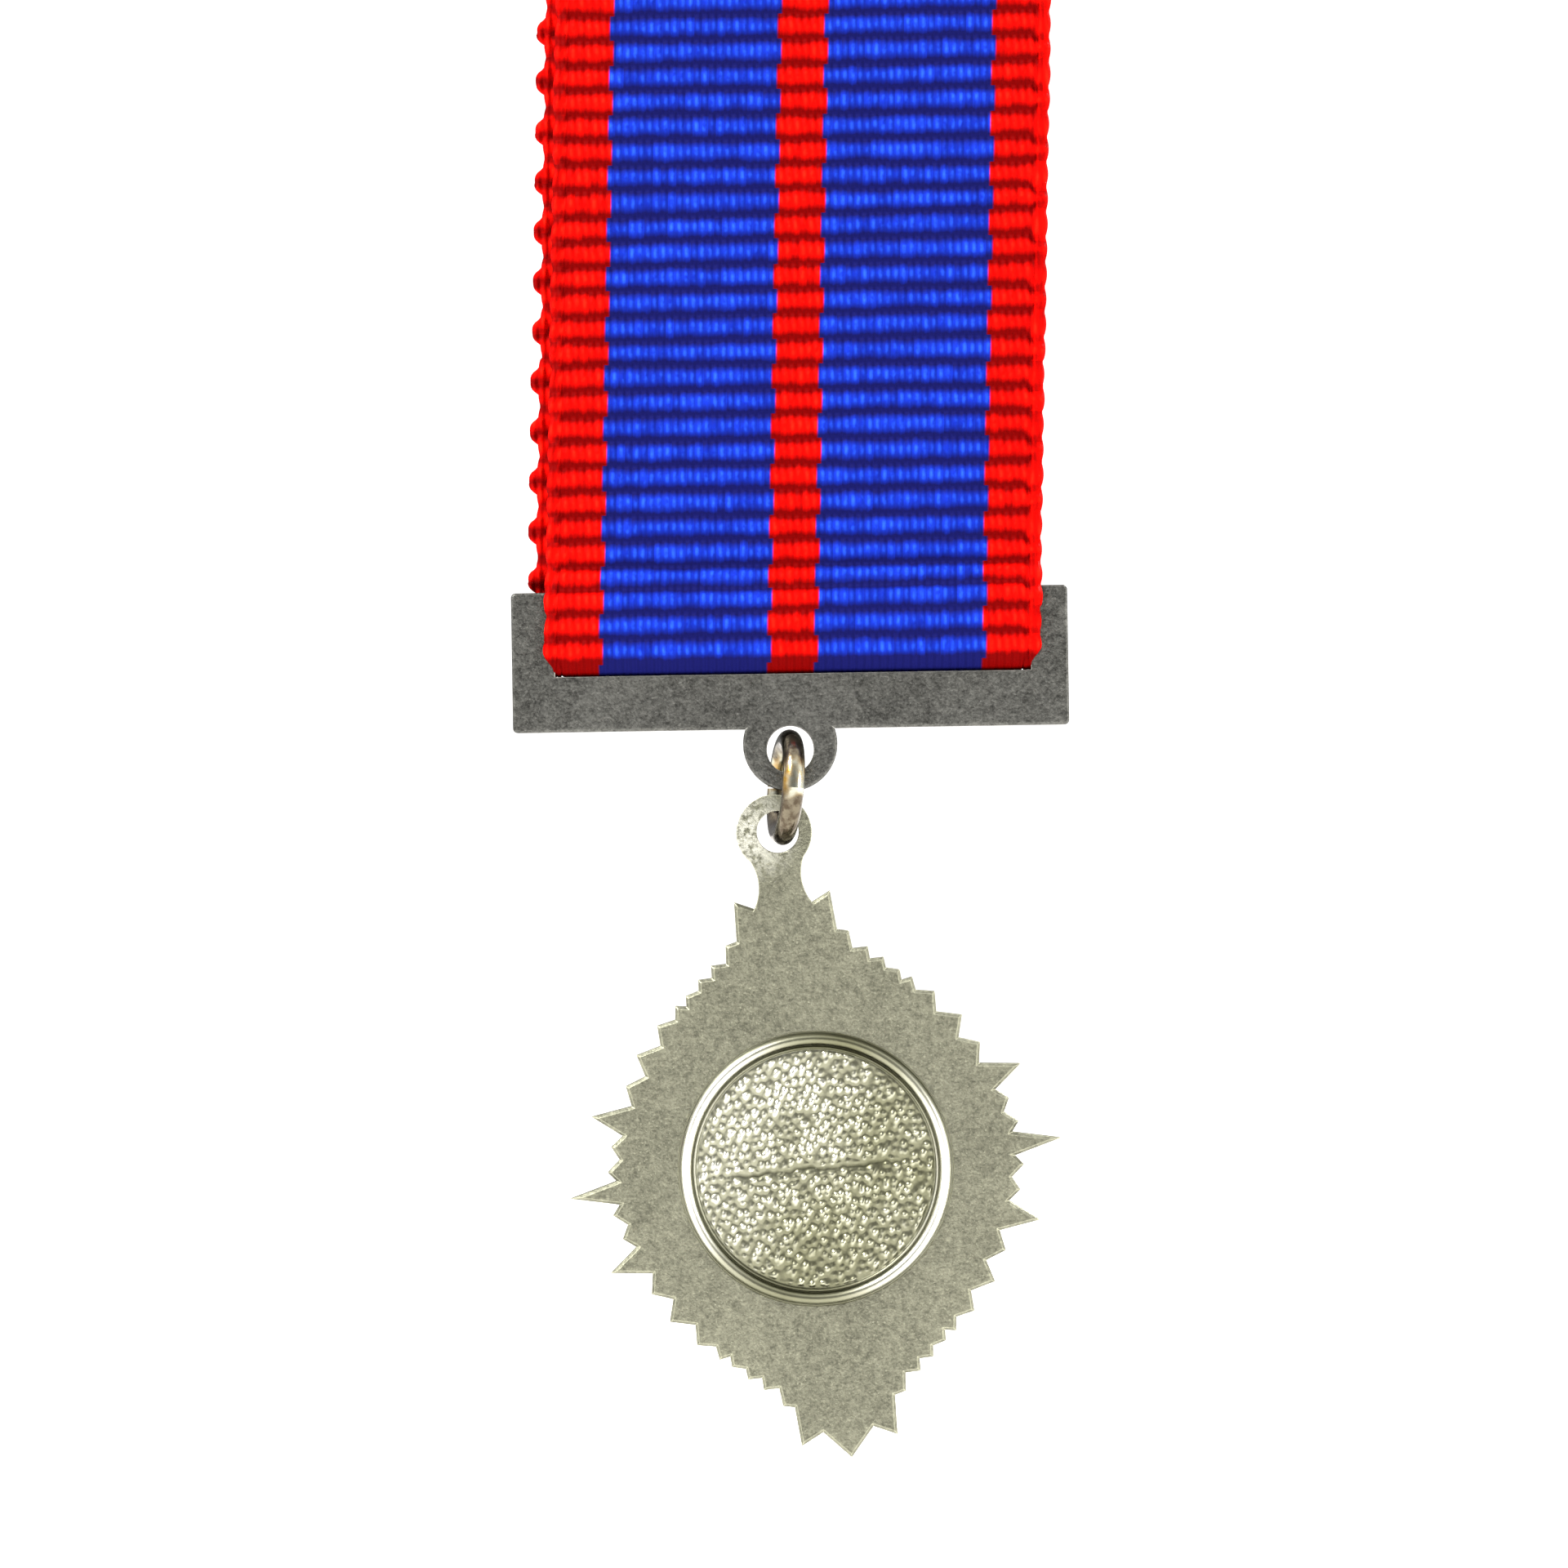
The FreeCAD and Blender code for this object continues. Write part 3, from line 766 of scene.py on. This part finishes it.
def soft_light(name, offset, aim, size, watts, colour):
    """A disc lamp at an offset from the aim, in millimetres, and facing it."""
    light = bpy.data.lights.new(name, "AREA")
    light.shape = "DISK"
    light.size = size * MM
    light.energy = watts
    light.color = colour
    lamp = bpy.data.objects.new(name, light)
    bpy.context.scene.collection.objects.link(lamp)
    lamp.location = (Vector(aim) + Vector(offset)) * MM
    lamp.rotation_euler = Vector(offset).to_track_quat("Z", "Y").to_euler()


def make_lights(aim):
    soft_light("key", (290, 190, 340), aim, 120, 3.6, (1.0, 0.985, 0.96))
    soft_light("fill", (-380, 160, 40), aim, 180, 0.8, (1.0, 0.97, 0.93))
    soft_light("front key", (-260, -260, 300), aim, 160, 2.6, (1.0, 0.99, 0.97))


def make_world():
    """A bright room, dimmer straight before and behind the medal.

    Flat faces of metal then stay dark between edges that catch the bright sides."""
    world = bpy.data.worlds.new("studio")
    bpy.context.scene.world = world
    n = Nodes(world, "Background")
    direction = n.add("ShaderNodeTexCoord").outputs["Generated"]
    facing = n.ramp(n.math("ABSOLUTE", n.axis(direction, "Y")), 0.95, 0.30)
    sideways = n.ramp(n.math("ABSOLUTE", n.axis(direction, "X")), 0.15, 0.75)
    overhead = n.ramp(n.axis(direction, "Z"), 0.68, 0.90)
    sides = n.math("MULTIPLY", sideways, room_sides - room_ends)
    room = n.math("MULTIPLY_ADD", facing, room_ends - room_dim, room_dim)
    room = n.math("ADD", room, n.math("MULTIPLY", facing, sides))
    room = n.math("MULTIPLY_ADD", overhead, room_top - room_ends, room)
    seen = n.add("ShaderNodeLightPath").outputs["Is Camera Ray"]
    strength = n.add("ShaderNodeMix", {"Factor": seen, "A": room, "B": backdrop})
    n.finish(Color=(1.0, 0.99, 0.975, 1), Strength=strength.outputs["Result"])


def make_camera():
    """Square to the reverse, level, and rolled a little as the medal lies."""
    frame_side = 50.4
    distance = 140.0
    sensor = 36.0
    roll_deg = -0.92
    aim = (bar_x + 0.26, bar_high[1], bar_bottom - 1.77)
    data = bpy.data.cameras.new("camera")
    data.sensor_width = sensor
    data.lens = sensor * distance / frame_side
    data.clip_start = 0.01
    data.clip_end = 10.0
    camera = bpy.data.objects.new("camera", data)
    bpy.context.scene.collection.objects.link(camera)
    camera.location = Vector((aim[0], aim[1] + distance, aim[2])) * MM
    level = Matrix.Rotation(math.pi, 4, "Z") @ Matrix.Rotation(math.pi / 2, 4, "X")
    roll = Matrix.Rotation(math.radians(roll_deg), 4, "Z")
    camera.rotation_euler = (level @ roll).to_euler()
    bpy.context.scene.camera = camera
    return aim


aim = make_camera()
make_stage()
make_world()
make_lights(aim)
bpy.context.scene.view_settings.view_transform = "Standard"

# The ring rubs one side of the star's lug. The ring is painted a mottled dark brown shade above
# and below a band a little above its own middle.
lug_side = (eye_x + 0.80, hang_y, eye_z - 0.05)
ring_unshaded_z = (ring_low[2] + ring_high[2]) / 2 + 0.37
star_metal = cast_metal("star metal", 0.108, 0.258, 0.16, 0.09, 0.018, 0.50, 0.66, lug_side)
dark_metal = cast_metal("suspender metal", 0.042, 0.140, 0.05, 0.085, 0.016, 0.46, 0.60)
plate_metal = cast_metal("brooch metal", 0.24, 0.38, 0.14, 0.07, 0.006, 0.36, 0.75)
tarnish = (0.40, 0.23, 0.04, 1)
ring_metal = bright_metal("ring metal", tint(0.50, 0.12), tarnish, 0.8, 0.15, ring_unshaded_z)
pin_metal = bright_metal("pin steel", tint(0.60, 0.02), tint(0.42, 0.05), 1.2, 0.20)

cladding = {
    "brooch_plate": plate_metal,
    "pin_bracket": plate_metal,
    "pin_catch": plate_metal,
    "pin_rivet": pin_metal,
    "brooch_pin": pin_metal,
    "suspender_bar": dark_metal,
    "jump_ring": ring_metal,
    "star_plate": star_metal,
    "roundel_front": star_metal,
    "roundel_stud": star_metal,
}
for node, material in cladding.items():
    clad(node, material)

ribbon, ribbon_length = make_ribbon(ribbon_cloth())
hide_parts("ribbon_drop", "ribbon_fold")
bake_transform(ribbon)

stitches = make_stitches(thread_cloth())
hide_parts("ribbon_stitches")
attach(stitches, "brooch")

roundel = make_roundel(pebbled_metal())
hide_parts("roundel_back")
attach(roundel, "pendant")
